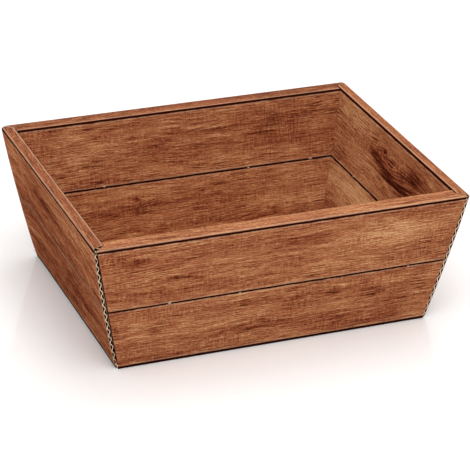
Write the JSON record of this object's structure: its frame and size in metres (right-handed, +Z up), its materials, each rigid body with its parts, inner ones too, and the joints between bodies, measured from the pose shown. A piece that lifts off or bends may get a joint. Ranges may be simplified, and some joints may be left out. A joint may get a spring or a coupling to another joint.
{
  "type": "cardboard gift basket tray",
  "caption": "Open rectangular gift basket tray with sloping double walls and a flat rim, folded from corrugated cardboard printed to look like wooden planks.",
  "frame": {"origin": "centre of the base's underside, on the surface the tray stands on", "axes": "+Z up out of the open top, +X along the long walls, -Y towards the viewer"},
  "size_m": [0.2494, 0.1996, 0.092],
  "materials": {
    "printed_board": "offset-printed wood-plank pattern with a thin satin varnish, raw fluted edges"
  },
  "bodies": {
    "root": {"folded_tray": "printed_board"}
  },
  "joints": []
}
